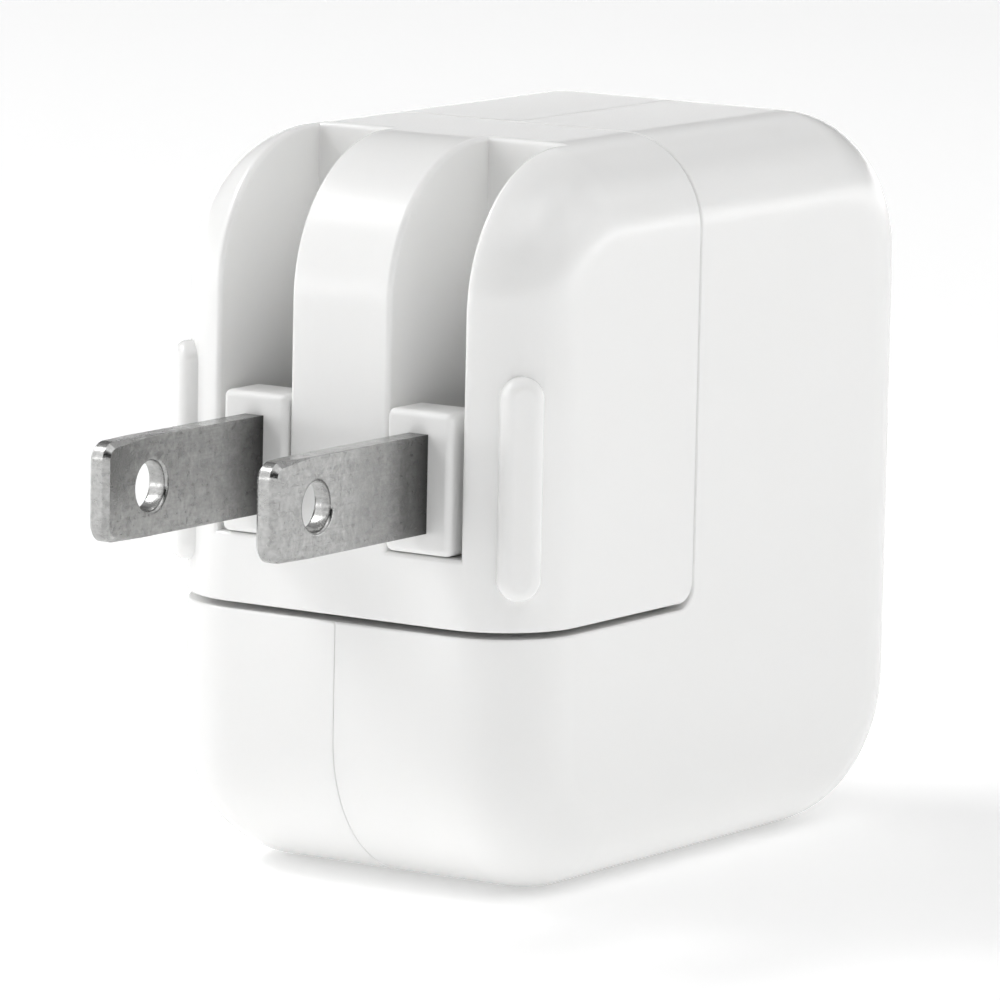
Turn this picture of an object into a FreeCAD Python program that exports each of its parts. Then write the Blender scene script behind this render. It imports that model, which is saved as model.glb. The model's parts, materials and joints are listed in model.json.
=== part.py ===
import FreeCAD, Part
import math
import os
from FreeCAD import Vector

# A USB wall charger with a detachable plug module that carries folding blades. Millimetres.
# +Z is up, the blades point along -Y, and the origin is the middle of the underside.

os.makedirs("parts", exist_ok=True)

# Outer form of body and plug module together
width = 29.0
depth = 48.0
height = 48.0
corner_radius = 10.0        # the four corners seen from the side
side_radius = 6.0           # the edges round both flat sides
wall = 1.8
seam_width = 0.12           # moulded groove where the two halves meet
seam_depth = 0.16

# Notch in the body, and the plug module that fills it
module_depth = 19.8
notch_floor = 17.5
floor_gap = 0.42            # shadow gap under the module
back_gap = 0.1              # hairline gap behind the module
notch_corner = 1.5          # rounded inner corner of the notch
lip_round = 0.18            # softened edges along both gaps
module_wall = 1.6
cover_wall = 1.4
cover_fit = 0.05

# Blades, to the two-pole ungrounded plug standard
blade_pitch = 12.7
blade_height = 6.35
blade_thickness = 1.5
blade_reach = 17.1
blade_bevel = 0.35
blade_tip_round = 1.1
blade_hole_radius = 1.6
blade_hole_inset = 4.8      # hole centre from the tip
coin_depth = 0.25           # flared rim of the hole

# Carrier that folds with the blades
pivot_back = 4.9            # pivot behind the front face
barrel_radius = 2.0
running_gap = 0.05
block_width = 4.9
block_proud = 0.3
block_thickness = 3.8
block_round = 0.45
block_over = 1.425          # block above the blade
blade_lift = 1.475          # blade's lower edge above the slot's floor

# Slots that take the folded blades
slot_floor = 22.45
slot_near_gap = 0.1         # beside a block, towards the divider
slot_far_gap = 0.6          # beside a block, towards the outside
fold_gap = 0.225            # behind a folded blade
swing_gap = 0.4             # behind a folded block
slot_round = 0.35
tray_wall = 1.4
floor_relief = 0.3
retainer_plate = 1.2

# Grip ribs on the front edges
rib_bottom = 20.0
rib_top = 34.3
rib_width = 2.8
rib_proud = 1.1
rib_round = 0.85
rib_root = 2.0

# Two-pin inlet between module and body
pin_pitch = 8.6
pin_radius = 1.2
pin_length = 8.8
pin_nose = 0.7
inlet_back = 10.5           # inlet axis behind the front face
lobe_radius = 3.6
lobe_waist = 0.86           # waist of the figure eight as a share of its lobes
lobe_gap = 0.2
cup_wall = 1.0
cup_base = 1.5
cup_flange = 0.7
flange_thickness = 1.0
socket_reach = 8.4
socket_flange = 0.5
tube_wall = 0.3
tab_width = 2.0
tab_thickness = 0.7
tab_drops = {-1: 0.4, 1: 1.6}   # each pin's tab below the cup; the far one passes lower

# Springs
strip_thickness = 0.3
strip_width = 2.0
detent_thickness = 0.3

# Lock stud and its channel
stud_level = 33.0
stud_neck = 1.8
stud_head = 3.1
stud_head_thickness = 1.3
stud_flange_thickness = 0.8
stud_gap = 0.25
stud_round = 0.3
channel_wall = 0.9

# USB socket
usb_length = 13.14
usb_height = 5.72
usb_metal = 0.3
usb_round = 0.55
usb_depth = 14.0
usb_recess = 0.25
usb_gap = 0.2
mouth_round = 0.3
tongue_length = 11.1
tongue_thickness = 1.84
tongue_recess = 0.9
tongue_root = 2.4
contact_width = 1.0
contact_thickness = 0.3
contact_places = (-3.5, -1.0, 1.0, 3.5)

# Boards
board_thickness = 1.2
board_standoff = 1.6
board_edge_gap = 0.7
pin_step = 2.54
pin_side = 0.64
lead_radius = 0.35

# Parts on the boards: length off the board, size along Y, size along Z
fuse_size = (8.0, 4.0, 8.0)
bridge_size = (10.0, 3.0, 9.0)
switch_size = (9.0, 2.5, 8.0)
film_size = (11.0, 4.6, 9.0)
sink_size = (17.0, 1.2, 9.4)
isolator_size = (3.2, 4.6, 4.6)
chip_size = (1.4, 3.9, 4.9)
rectifier_size = (1.1, 4.0, 3.2)
part_gap = 0.6
choke_outer = 3.9
choke_inner = 1.9
choke_thickness = 4.0
wire_build = 0.45
reservoir_radius = 4.9
reservoir_length = 16.5
output_can_radius = 2.9
output_can_length = 5.6
disc_radius = 3.0
disc_thickness = 3.2
core_size = (14.0, 5.6, 17.0)
core_limb = 2.2
core_leg = 5.0
bobbin_wall = 0.5
winding_build = 1.45
tape_build = 0.2
sheet_thickness = 0.3

# Places worked out from the sizes above
half_width = width / 2
front = -depth / 2
rear = depth / 2
notch_wall = front + module_depth
module_rear = notch_wall - back_gap
module_bottom = notch_floor + floor_gap
pivot_y = front + pivot_back
pivot_level = slot_floor + barrel_radius + running_gap
blade_level = slot_floor + blade_lift + blade_height / 2
block_top = blade_level + blade_height / 2 + block_over
block_back = front - block_proud + block_thickness
slot_inner = (blade_pitch - block_width) / 2 - slot_near_gap
slot_outer = (blade_pitch + block_width) / 2 + slot_far_gap
slot_depth = pivot_back + blade_level - pivot_level + blade_height / 2 + fold_gap
pocket_depth = pivot_back + block_top - pivot_level + swing_gap
block_swing = math.hypot(pivot_back + block_proud, block_top - pivot_level)
pocket_top = pivot_level + math.sqrt(block_swing ** 2 - (slot_depth - pivot_back) ** 2) + swing_gap + 0.1
tray_back = front + pocket_depth
tray_inner = slot_inner - tray_wall
tray_outer = slot_outer + tray_wall
inlet_y = front + inlet_back
cup_floor = module_bottom - socket_reach - 0.5
stud_head_front = module_rear - cover_wall - stud_gap - stud_head_thickness
usb_level = height / 2
usb_mouth = rear - usb_recess
board_left = -half_width + wall + board_standoff
board_face = board_left + board_thickness
port_left = usb_height / 2 + 0.1
port_face = port_left + board_thickness
chamber_front = notch_wall + wall + board_edge_gap
chamber_floor = wall + board_edge_gap + 1.2
far = 2 * (width + depth + height)
sides = (("left", -1), ("right", 1))


def box(x0, x1, y0, y1, z0, z1):
    return Part.makeBox(x1 - x0, y1 - y0, z1 - z0, Vector(x0, y0, z0))


def sided(side, x0, x1, y0, y1, z0, z1):
    """The same box on the left (side -1) or the right (side 1)."""
    low, high = sorted((side * x0, side * x1))
    return box(low, high, y0, y1, z0, z1)


def rod(radius, start, end):
    axis = end.sub(start)
    return Part.makeCylinder(radius, axis.Length, start, axis)


def cross_rod(radius, x0, x1, y, z):
    """A rod along X."""
    return rod(radius, Vector(x0, y, z), Vector(x1, y, z))


def join(shapes):
    return shapes[0].fuse(shapes[1:]).removeSplitter()


def edges_where(shape, test):
    return [edge for edge in shape.Edges if test(edge)]


def long_along(shape, axis, least):
    """The edges that run further than least along an axis."""
    return edges_where(shape, lambda edge: getattr(edge.BoundBox, axis + "Length") > least)


def flat_at(edge, axis, value):
    """True if the whole edge lies in the plane axis = value."""
    bounds = edge.BoundBox
    low = getattr(bounds, axis + "Min")
    high = getattr(bounds, axis + "Max")
    return abs(low - value) < 1e-4 and abs(high - value) < 1e-4


def ribbon(points, thickness, x0, x1):
    """A bent flat strip: its mid line in Y and Z, extruded along X."""
    upper, lower = [], []
    for index, (y, z) in enumerate(points):
        before = points[max(index - 1, 0)]
        after = points[min(index + 1, len(points) - 1)]
        into = Vector(0, y - before[0], z - before[1])
        out = Vector(0, after[0] - y, after[1] - z)
        into = into.normalize() if into.Length else out.normalize()
        out = out.normalize() if out.Length else into
        normal = Vector(0, -into.z - out.z, into.y + out.y).normalize()
        reach = thickness / 2 / normal.dot(Vector(0, -into.z, into.y))
        upper.append(Vector(x0, y, z) + normal * reach)
        lower.append(Vector(x0, y, z) - normal * reach)
    outline = upper + lower[::-1]
    face = Part.Face(Part.makePolygon(outline + outline[:1]))
    return face.extrude(Vector(x1 - x0, 0, 0))


def save(shape, name):
    solids = shape.Solids
    shape = solids[0] if len(solids) == 1 else Part.makeCompound(solids)
    if not solids or not shape.isValid():
        raise ValueError(name + " is not a valid solid")
    print(f"{name:22s} {len(solids)} solids {shape.Volume:9.2f} mm3")
    shape.exportStep(f"parts/{name}.step")


def rounded_form(inset):
    """The whole charger's outer form, moved inwards by inset."""
    form = box(inset - half_width, half_width - inset, front + inset, rear - inset, inset, height - inset)
    form = form.makeFillet(corner_radius - inset, long_along(form, "X", width / 2))
    flat = half_width - inset
    rims = edges_where(form, lambda edge: flat_at(edge, "X", flat) or flat_at(edge, "X", -flat))
    return form.makeFillet(side_radius - inset, rims)


skin = rounded_form(0)


def on_skin(edge):
    """True if the edge's middle lies on the outer form."""
    middle = edge.valueAt((edge.FirstParameter + edge.LastParameter) / 2)
    return Part.Vertex(middle).distToShape(skin.Shells[0])[0] < 0.01


def corner_space(y1, z0, radius):
    """All the room in front of y1 and above z0, with the inner corner rounded."""
    space = box(-far, far, -far, y1, z0, far)
    inner = edges_where(space, lambda edge: flat_at(edge, "Y", y1) and flat_at(edge, "Z", z0))
    return space.makeFillet(radius, inner)


def notch_space(grow):
    """The corner that the plug module fills, grown into the body by grow."""
    return corner_space(notch_wall + grow, notch_floor - grow, notch_corner + grow)


def figure_eight(radius, z0, z1):
    """Two round lobes on the inlet's axis, joined by a slightly narrower waist."""
    lobes = [rod(radius, Vector(side * pin_pitch / 2, inlet_y, z0), Vector(side * pin_pitch / 2, inlet_y, z1))
             for name, side in sides]
    waist = radius * lobe_waist
    return join(lobes + [box(-pin_pitch / 2, pin_pitch / 2, inlet_y - waist, inlet_y + waist, z0, z1)])


def usb_outline(grow, y0, y1):
    """The socket's upright rectangle with rounded corners, grown by grow."""
    x = usb_height / 2 + grow
    z = usb_length / 2 + grow
    block = box(-x, x, y0, y1, usb_level - z, usb_level + z)
    return block.makeFillet(usb_round + grow, long_along(block, "Y", (y1 - y0) / 2))


def stud_rod(radius, y0, y1):
    """A rod on the lock stud's axis."""
    return rod(radius, Vector(0, y0, stud_level), Vector(0, y1, stud_level))


# ---- Body housing

def lies_on_notch(edge):
    """An edge where the notch meets the outer form."""
    if not on_skin(edge):
        return False
    on_wall = flat_at(edge, "Z", notch_floor) or flat_at(edge, "Y", notch_wall)
    bounds = edge.BoundBox
    at_corner = abs(bounds.YMax - notch_wall) < 0.01 and abs(bounds.ZMin - notch_floor) < 0.01
    return on_wall or (at_corner and bounds.XLength < 0.01)


def make_housing():
    """The body's shell, moulded in two halves that meet on the middle plane."""
    body = skin.cut(notch_space(0))
    body = body.makeFillet(lip_round, edges_where(body, lies_on_notch))
    body = body.cut(rounded_form(wall).cut(notch_space(wall)))
    body = body.cut(figure_eight(lobe_radius + lobe_gap + cup_wall, notch_floor - wall, notch_floor))
    body = body.cut(stud_rod(stud_neck, notch_wall - 1, notch_wall + wall))
    body = body.cut(usb_outline(usb_gap, rear - 2 * wall, rear + 1))
    mouth = edges_where(body, lambda edge: flat_at(edge, "Y", rear)
                        and edge.BoundBox.DiagonalLength < usb_length + 1
                        and abs(edge.BoundBox.Center.x) < usb_height)
    body = body.makeFillet(mouth_round, mouth)
    groove = box(-seam_width / 2, seam_width / 2, -far, far, -far, far)
    body = body.cut(groove.common(skin.cut(rounded_form(seam_depth))))
    for name, side in sides:
        save(body.common(sided(side, 0, far, -far, far, -far, far)), "housing_" + name)


# ---- Plug module

def module_form():
    """The solid block of the plug module before it is hollowed."""
    return skin.common(corner_space(module_rear, module_bottom, notch_corner - back_gap))


def module_cavity(shrink):
    """The space inside the module's outer walls, open at its back and underneath."""
    space = box(-far, far, -far, module_rear + 1, module_bottom - 1, far)
    return rounded_form(module_wall + shrink).common(space)


def open_slot(side):
    return sided(side, slot_inner, slot_outer, front - 5, front + slot_depth, slot_floor, height + 5)


def blade_slot(side):
    """One open slot, with the deeper pocket where the carrier's block swings and a relief for the barrel."""
    pocket = sided(side, slot_inner, slot_outer, front + 1, tray_back + 1, slot_floor, pocket_top)
    relief = sided(side, slot_inner, slot_outer, pivot_y - barrel_radius - 0.5, tray_back + 1,
                   slot_floor - floor_relief, slot_floor + 1)
    return join([open_slot(side), pocket, relief])


def lies_on_slot(edge):
    """An edge where a slot cuts the outer form."""
    beside = any(flat_at(edge, "X", side * x) for name, side in sides for x in (slot_inner, slot_outer))
    behind = flat_at(edge, "Y", front + slot_depth)
    below = flat_at(edge, "Z", slot_floor)
    return (beside or behind or below) and on_skin(edge)


def lies_on_module_lip(edge):
    """An edge where the module's back or underside meets the outer form."""
    return (flat_at(edge, "Z", module_bottom) or flat_at(edge, "Y", module_rear)) and on_skin(edge)


def rib(side):
    """A grip rib standing on the rounded front edge, built upright and then turned 45 degrees."""
    reach = side_radius + rib_proud
    z0 = rib_bottom + rib_width / 2
    z1 = rib_top - rib_width / 2
    start = side_radius - rib_root
    ends = [rod(rib_width / 2, Vector(0, -start, z), Vector(0, -reach, z)) for z in (z0, z1)]
    ridge = join(ends + [box(-rib_width / 2, rib_width / 2, -reach, -start, z0, z1)])
    ridge = ridge.makeFillet(rib_round, edges_where(ridge, lambda edge: flat_at(edge, "Y", -reach)))
    ridge.rotate(Vector(0, 0, 0), Vector(0, 0, 1), side * 45)
    ridge.translate(Vector(side * (half_width - side_radius), front + side_radius, 0))
    return ridge


def journal(side, near):
    """A U-shaped journal in a tray wall, open to the back so that the barrel drops in."""
    radius = barrel_radius + running_gap
    bore = cross_rod(radius, side * near, side * (near + tray_wall), pivot_y, pivot_level)
    way_in = sided(side, near, near + tray_wall, pivot_y, tray_back,
                   pivot_level - radius, pivot_level + radius)
    return bore.fuse(way_in)


def strip_slit(side):
    """The slit in a tray's floor that lets the contact strip through."""
    middle = side * blade_pitch / 2
    reach = strip_width / 2 + 0.3
    y = strip_rise()
    return box(middle - reach, middle + reach, y - 0.8, y + 0.8, slot_floor - 2 * tray_wall, slot_floor)


def strip_rise():
    """Where the contact strips stand, behind the blades' tails."""
    return tray_back - 2.7


def make_plug_shell():
    """The module's outer shell: two slots with trays behind them, journals and grip ribs."""
    outer = module_form()
    for name, side in sides:
        outer = outer.cut(open_slot(side))
    outer = outer.makeFillet(slot_round, edges_where(outer, lies_on_slot))
    outer = outer.makeFillet(lip_round, edges_where(outer, lies_on_module_lip))
    shell = join([outer] + [rib(side) for name, side in sides])
    trays = [sided(side, tray_inner, tray_outer, front + 1, tray_back, slot_floor - tray_wall, height - 1)
             for name, side in sides]
    shell = shell.cut(module_cavity(0).cut(join(trays)))
    for name, side in sides:
        shell = shell.cut(blade_slot(side))
        shell = shell.cut(journal(side, tray_inner))
        shell = shell.cut(journal(side, slot_outer))
        shell = shell.cut(strip_slit(side))
    save(shell, "plug_shell")


def channel_space(grow):
    """The space that the stud's head runs in, grown to the sides, front and top."""
    reach = stud_head + stud_gap + grow
    return box(-reach, reach, stud_head_front - stud_gap - grow, module_rear - cover_wall,
               0, stud_level + reach)


def make_back_cover():
    """The cover over the module's back and underside, with the slot that slides down the stud's neck."""
    slabs = box(-far, far, module_rear - cover_wall, far, -far, far)
    slabs = slabs.fuse(box(-far, far, -far, far, -far, module_bottom + cover_wall))
    cover = module_cavity(cover_fit).common(module_form()).common(slabs).removeSplitter()
    neck = stud_neck + running_gap
    cover = cover.cut(box(-neck, neck, tray_back, far, 0, stud_level))
    cover = cover.cut(rod(neck, Vector(0, tray_back, stud_level), Vector(0, far, stud_level)))
    cover = cover.cut(channel_space(channel_wall + cover_fit))
    cover = cover.cut(figure_eight(lobe_radius + cover_fit, 0, slot_floor))
    save(cover, "plug_back_cover")


def make_lock_channel():
    """A moulded channel behind the cover that the stud's head slides up."""
    channel = channel_space(channel_wall).cut(channel_space(0))
    save(channel.cut(box(-far, far, -far, far, -far, module_bottom)), "lock_channel")


def make_lock_stud():
    """A turned steel mushroom: flange inside the body, neck through its wall, head in the channel."""
    head_back = stud_head_front + stud_head_thickness
    flange_front = notch_wall + wall
    head = stud_rod(stud_head, stud_head_front, head_back)
    head = head.makeFillet(stud_round, edges_where(head, lambda edge: flat_at(edge, "Y", stud_head_front)))
    neck = stud_rod(stud_neck, head_back, flange_front)
    flange = stud_rod(stud_head, flange_front, flange_front + stud_flange_thickness)
    save(join([head, neck, flange]), "lock_stud")


def make_pivot_retainer():
    """A plate that closes the trays' backs, with fingers that hold the barrel in its journals."""
    reach = tray_outer + 0.8
    plate = box(-reach, reach, tray_back, tray_back + retainer_plate,
                slot_floor - tray_wall - 0.4, pocket_top + tray_wall)
    finger = barrel_radius + running_gap - cover_fit
    pieces = [plate]
    for name, side in sides:
        for near in (tray_inner, slot_outer):
            pieces.append(sided(side, near + cover_fit, near + tray_wall - cover_fit,
                                pivot_y + 0.3, tray_back, pivot_level - finger, pivot_level + finger))
    barrel = cross_rod(barrel_radius + running_gap, -far, far, pivot_y, pivot_level)
    save(join(pieces).cut(barrel), "pivot_retainer")


# ---- Folding blades

def blade_outline(side):
    """The blade's flat shape with its round tail about the pivot."""
    middle = side * blade_pitch / 2
    x0 = middle - blade_thickness / 2
    x1 = middle + blade_thickness / 2
    low = blade_level - blade_height / 2
    high = blade_level + blade_height / 2
    tip = front - blade_reach
    neck_end = block_back - 0.3
    flat = box(x0, x1, tip, neck_end, low, high)
    tip_edges = edges_where(flat, lambda edge: flat_at(edge, "Y", tip) and edge.BoundBox.XLength > 0.1)
    flat = flat.makeFillet(blade_tip_round, tip_edges)
    tail = box(x0, x1, neck_end - 0.5, pivot_y, low, pivot_level + barrel_radius)
    return join([flat, tail, cross_rod(barrel_radius, x0, x1, pivot_y, pivot_level)])


def make_blade(name, side):
    """A plated brass blade with a chamfered tip and a coined hole."""
    blade = blade_outline(side)
    x0 = side * blade_pitch / 2 - blade_thickness / 2
    x1 = x0 + blade_thickness
    tip = front - blade_reach
    rim = edges_where(blade, lambda edge: edge.BoundBox.YMax < tip + blade_tip_round + 0.01
                      and (flat_at(edge, "X", x0) or flat_at(edge, "X", x1)))
    blade = blade.makeChamfer(blade_bevel, rim)
    hole_y = tip + blade_hole_inset
    blade = blade.cut(cross_rod(blade_hole_radius, x0 - 1, x1 + 1, hole_y, blade_level))
    for face, inwards in ((x0, 1), (x1, -1)):
        flare = Part.makeCone(blade_hole_radius + coin_depth, blade_hole_radius, coin_depth,
                              Vector(face, hole_y, blade_level), Vector(inwards, 0, 0))
        blade = blade.cut(flare)
    save(blade, "blade_" + name)


def make_carrier():
    """The moulded carrier: one barrel across the module and a block round each blade's root."""
    reach = tray_outer - cover_fit
    pieces = [cross_rod(barrel_radius, -reach, reach, pivot_y, pivot_level)]
    web = 0.6 * barrel_radius
    for name, side in sides:
        x0 = (side * blade_pitch - block_width) / 2
        x1 = x0 + block_width
        block = box(x0, x1, front - block_proud, block_back, slot_floor + 2 * running_gap, block_top)
        pieces.append(block.makeFillet(block_round, block.Edges))
        pieces.append(box(x0, x1, block_back - 2 * block_round, pivot_y,
                          pivot_level - web, pivot_level + web))
    carrier = join(pieces)
    for name, side in sides:
        carrier = carrier.cut(blade_outline(side))
    save(carrier, "blade_carrier")


# ---- Two-pin connection between module and body

def pin_tab(side):
    """The flat tab from a pin's foot into the main board."""
    top = cup_floor - cup_base - tab_drops[side]
    return box(board_left - 0.4, side * pin_pitch / 2, inlet_y - tab_width / 2, inlet_y + tab_width / 2,
               top - tab_thickness, top)


def make_inlet():
    """The body's inlet: a figure-eight cup under the notch floor and its two pins."""
    outer = lobe_radius + lobe_gap + cup_wall
    flange_top = notch_floor - wall
    cup = figure_eight(outer, cup_floor - cup_base, notch_floor)
    cup = cup.fuse(figure_eight(outer + cup_flange, flange_top - flange_thickness, flange_top))
    cup = cup.cut(figure_eight(lobe_radius + lobe_gap, cup_floor, far))
    for name, side in sides:
        tab = pin_tab(side)
        foot = Vector(side * pin_pitch / 2, inlet_y, tab.BoundBox.ZMin)
        top = Vector(side * pin_pitch / 2, inlet_y, cup_floor + pin_length)
        pin = rod(pin_radius, foot, top)
        cup = cup.cut(pin)
        pin = pin.makeFillet(pin_nose, edges_where(pin, lambda edge: flat_at(edge, "Z", top.z)))
        save(join([pin, tab]), "inlet_pin_" + name)
    save(cup, "inlet_cup")


def make_socket():
    """The module's figure-eight socket block with its two tubes and contact strips."""
    bottom = module_bottom - socket_reach
    seat = module_bottom + cover_wall
    top = seat + socket_flange
    tube_bore = pin_radius + running_gap
    tube_outer = tube_bore + tube_wall
    block = figure_eight(lobe_radius, bottom, seat)
    block = block.makeFillet(0.4, edges_where(block, lambda edge: flat_at(edge, "Z", bottom)))
    block = join([block, figure_eight(lobe_radius + cup_flange, seat, top)])
    for name, side in sides:
        x = side * pin_pitch / 2
        low = Vector(x, inlet_y, bottom + 0.8)
        high = Vector(x, inlet_y, top)
        block = block.cut(rod(tube_bore + running_gap, Vector(x, inlet_y, 0), high))
        block = block.cut(rod(tube_outer, low, high))
        save(rod(tube_outer, low, high).cut(rod(tube_bore, low, high)), "socket_tube_" + name)
        make_contact_strip(name, side, top)
    save(block, "socket_block")


def make_contact_strip(name, side, foot):
    """A phosphor-bronze strip from the tube's top to the blade's round tail."""
    middle = side * blade_pitch / 2
    rise = strip_rise()
    tail_back = pivot_y + barrel_radius
    pad_reach = pin_radius
    level = foot + strip_thickness / 2
    points = [(inlet_y - pad_reach, level), (rise, level), (rise, pivot_level - 1.9),
              (rise - 0.9, pivot_level - 0.1), (tail_back + 0.4, pivot_level - 0.5)]
    strip = ribbon(points, strip_thickness, middle - strip_width / 2, middle + strip_width / 2)
    pad = sided(side, pin_pitch / 2 - pad_reach, blade_pitch / 2, inlet_y - pad_reach, inlet_y + pad_reach,
                foot, foot + strip_thickness)
    save(join([strip, pad]), "contact_strip_" + name)


def make_detent_spring():
    """A flat spring behind the barrel's middle that holds the blades at either end of their fold."""
    barrel_back = pivot_y + barrel_radius
    y = tray_back - detent_thickness / 2
    reach = tray_inner - 0.2
    points = [(y, pocket_top - 1.0), (y, pivot_level + 4.0), (barrel_back + 0.35, pivot_level + 1.2),
              (barrel_back + 0.25, pivot_level - 1.2), (barrel_back + 1.1, pivot_level - 2.2)]
    save(ribbon(points, detent_thickness, -reach, reach), "detent_spring")


# ---- Boards and what stands on them

def board_space():
    """The room that a board may fill: inside the shell and clear of the notch."""
    return rounded_form(wall + board_edge_gap).cut(notch_space(wall + board_edge_gap))


def board_pins():
    """Four straight pins that join the two boards under the socket."""
    level = usb_level - usb_length / 2 - 2.0
    half = pin_side / 2
    return [box(board_left - 0.6, port_face + 0.6, y - half, y + half, level - half, level + half)
            for y in [rear - 12.0 + pin_step * step for step in range(4)]]


def make_boards():
    pins = Part.makeCompound(board_pins())
    main = board_space().common(box(board_left, board_face, -far, far, -far, far))
    for name, side in sides:
        main = main.cut(pin_tab(side))
    save(main.cut(pins), "main_board")
    port = box(port_left, port_face, rear - usb_depth - part_gap, far, usb_level - 10, usb_level + 10)
    save(board_space().common(port).cut(pins), "port_board")
    save(pins, "board_pins")


def standing(size, out, y, z):
    """A box of the given size that stands off the main board by out."""
    length, deep, tall = size
    return box(board_face + out, board_face + out + length, y, y + deep, z, z + tall)


def leaded(body, lift, feet, name):
    """A body with round leads down to the main board at the (y, z) feet."""
    leads = [cross_rod(lead_radius, board_face, board_face + lift, y, z) for y, z in feet]
    save(join([body] + leads), name)


def make_mains_parts():
    """Fuse, rectifier, switch with heat sink, film capacitor and choke along the floor of the case."""
    z = chamber_floor
    fuse_y = inlet_y + lobe_radius + lobe_gap + cup_wall + 1.4
    fuse = standing(fuse_size, 0.4, fuse_y, z + 1)
    fuse = fuse.makeFillet(0.5, long_along(fuse, "X", 1))
    middle = fuse_y + fuse_size[1] / 2
    leaded(fuse, 1, [(middle, z + 2.5), (middle, z + 7.5)], "fuse")
    y = chamber_front + part_gap
    feet = [(y + bridge_size[1] / 2, z + 1.2 + 2.2 * step) for step in range(4)]
    leaded(standing(bridge_size, 1.5, y, z), 2, feet, "bridge_rectifier")
    y = y + bridge_size[1] + part_gap
    feet = [(y + switch_size[1] / 2, z + 1.46 + pin_step * step) for step in range(3)]
    leaded(standing(switch_size, 6.0, y, z), 6.5, feet, "power_switch")
    y = y + switch_size[1]
    make_heat_sink(y, z - 0.4)
    y = y + sink_size[1] + 1.3 + part_gap
    film = standing(film_size, 0.5, y, z)
    film = film.makeFillet(0.6, film.Edges)
    feet = [(y + film_size[1] / 2, z + rise) for rise in (1.5, film_size[2] - 1.5)]
    leaded(film, 1.5, feet, "film_capacitor")
    make_choke(y + film_size[1] + 1.0, z + 4.5)


def make_heat_sink(y, z):
    fins = [standing((0.8, 1.3, sink_size[2]), 1.0 + 3.2 * step, y + sink_size[1], z) for step in range(5)]
    save(join([standing(sink_size, 0.3, y, z)] + fins), "heat_sink")


def make_choke(y, level):
    """A ring core standing on the board with two windings."""
    x = board_face + choke_outer + 1.1
    centre = Vector(x, y + choke_thickness / 2, level)
    half = Vector(0, choke_thickness / 2, 0)
    over = half + Vector(0, wire_build, 0)
    core = rod(choke_outer, centre - half, centre + half).cut(rod(choke_inner, centre - half, centre + half))
    save(core, "choke_core")
    coil = rod(choke_outer + wire_build, centre - over, centre + over)
    coil = coil.cut(rod(choke_inner - wire_build, centre - over, centre + over)).cut(core)
    coil = coil.cut(box(x - 1.1, x + 1.1, -far, far, -far, far))
    leads = [cross_rod(lead_radius, board_face, x - 3, centre.y, level + z).cut(core) for z in (-3.4, 3.4)]
    save(coil.fuse(leads), "choke_windings")


def make_reservoirs():
    """Two electrolytic capacitors lying along the top, as high as the rounded back corner lets them."""
    start_y = chamber_front + 2.2
    inner_radius = corner_radius - wall - part_gap
    into_corner = max(start_y + reservoir_length - (rear - corner_radius), 0)
    top = height - corner_radius + math.sqrt(inner_radius ** 2 - into_corner ** 2)
    level = top - reservoir_radius
    for index, name in enumerate("ab"):
        x = board_face + 0.4 + reservoir_radius + index * (2 * reservoir_radius + part_gap)
        start = Vector(x, start_y, level)
        can = rod(reservoir_radius, start, start + Vector(0, reservoir_length, 0))
        can = can.makeFillet(0.5, edges_where(can, lambda edge: edge.BoundBox.YLength < 0.01))
        feet = [rod(lead_radius, start + Vector(0, -0.8, z), start + Vector(0, 0.2, z)) for z in (-2.5, 2.5)]
        save(join([can] + feet), "input_capacitor_" + name)


def make_transformer():
    """Ferrite core, bobbin, windings and the tape round them, and the sheet that screens them."""
    long, thick, tall = core_size
    x0 = board_face + 1.6
    x1 = x0 + long
    y = chamber_front + 5.0
    leg = core_leg / 2
    wound_build = bobbin_wall + winding_build
    flange_build = wound_build + tape_build + 0.2
    level = stud_level - stud_head - part_gap - leg - flange_build
    core = box(x0, x1, y - thick / 2, y + thick / 2, level - tall / 2, level + tall / 2)
    limb = tall / 2 - core_limb
    for low, high in ((level - limb, level - leg), (level + leg, level + limb)):
        core = core.cut(box(x0 + core_limb, x1 - core_limb, -far, far, low, high))
    save(core, "transformer_core")
    inner = (x0 + core_limb + 0.1, x1 - core_limb - 0.1)

    def sleeve(build, ends):
        """A box round the core's leg that stands build away from it, short of the window by ends."""
        return box(inner[0] + ends, inner[1] - ends, y - thick / 2 - build, y + thick / 2 + build,
                   level - leg - build, level + leg + build)

    tube = sleeve(bobbin_wall + 0.05, 0)
    flanges = sleeve(flange_build, 0).cut(sleeve(flange_build + 1, bobbin_wall + 0.1))
    rails = [box(board_face + 0.2, inner[0] + 0.3, y + offset - 0.6, y + offset + 0.6, level - 5, level + 5)
             for offset in (-thick / 2 - 1.3, thick / 2 + 1.3)]
    save(join([tube, flanges] + rails).cut(sleeve(0.05, -1)), "transformer_bobbin")
    wound = sleeve(wound_build, bobbin_wall + 0.15)
    wound = wound.makeFillet(0.9, long_along(wound, "X", 1))
    save(wound.cut(tube), "transformer_windings")
    tape = sleeve(wound_build + tape_build, bobbin_wall + 0.15)
    tape = tape.makeFillet(0.9 + tape_build, long_along(tape, "X", 1))
    save(tape.cut(wound), "transformer_tape")
    sheet_y = y + thick / 2 + flange_build + 0.1
    sheet = box(board_face + 0.1, half_width - wall - 1.2, sheet_y, sheet_y + sheet_thickness,
                level - tall / 2, level + tall / 2 + part_gap)
    save(sheet, "insulation_sheet")


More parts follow.
